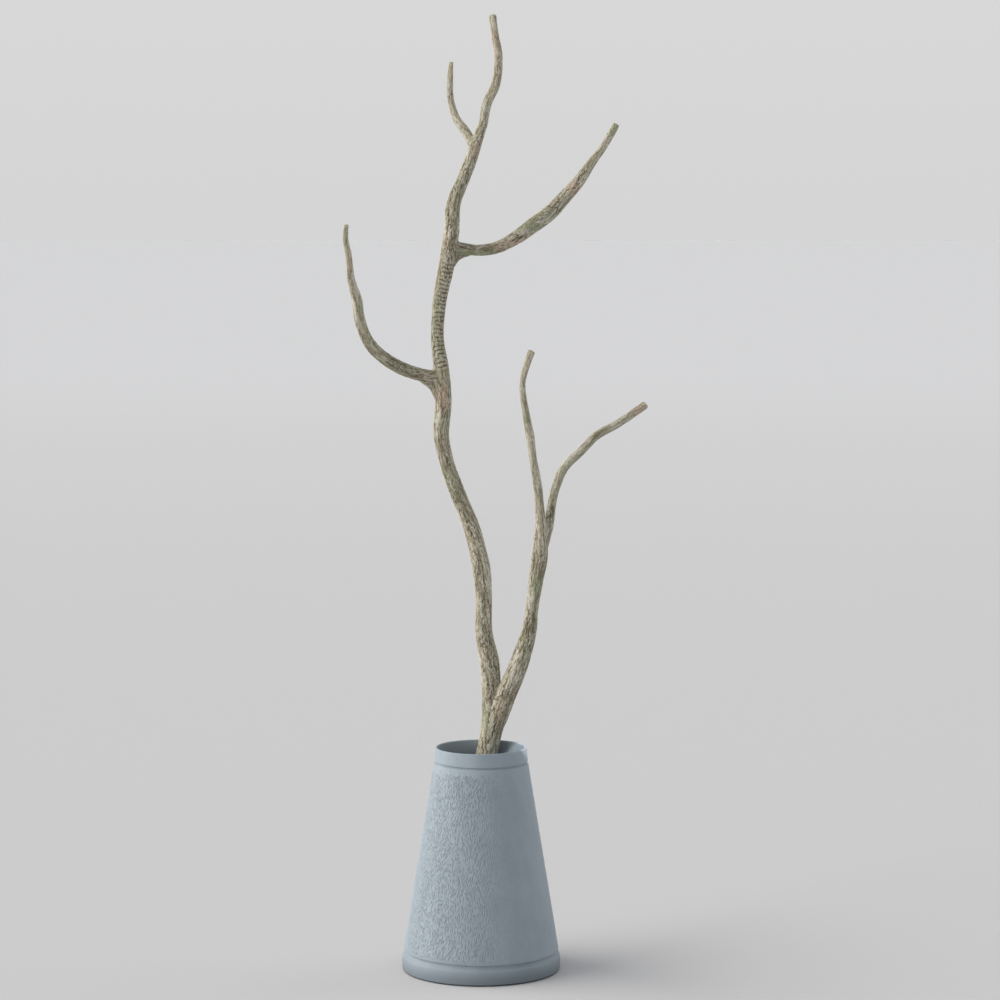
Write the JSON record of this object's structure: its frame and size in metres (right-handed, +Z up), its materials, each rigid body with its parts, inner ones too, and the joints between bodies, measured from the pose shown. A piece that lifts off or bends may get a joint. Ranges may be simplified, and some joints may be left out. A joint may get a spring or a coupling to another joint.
{
  "type": "dry tree branch in a vase",
  "caption": "Bare, weathered tree branch, forked and gently crooked, standing in a tapered matt stoneware vase with a grained body and plain bands at rim and foot.",
  "frame": {"origin": "centre of the vase's flat underside", "axes": "+Z up along the vase's axis, +Y to the back, +X to the right as seen from the front"},
  "size_m": [0.3332, 0.1754, 1.0558],
  "materials": {
    "stoneware": "matt pale blue-grey glaze, fine upright grain between two plain bands",
    "weathered_wood": "dry weathered wood, cream ridges, olive-brown fissures and bare pinkish patches"
  },
  "bodies": {
    "root": {"vase": "stoneware", "butt": "weathered_wood", "main_stem": "weathered_wood", "left_branch": "weathered_wood", "right_branch": "weathered_wood", "top_twig_left": "weathered_wood", "top_twig_right": "weathered_wood", "side_stem": "weathered_wood", "side_twig_left": "weathered_wood", "side_twig_right": "weathered_wood"}
  },
  "joints": []
}
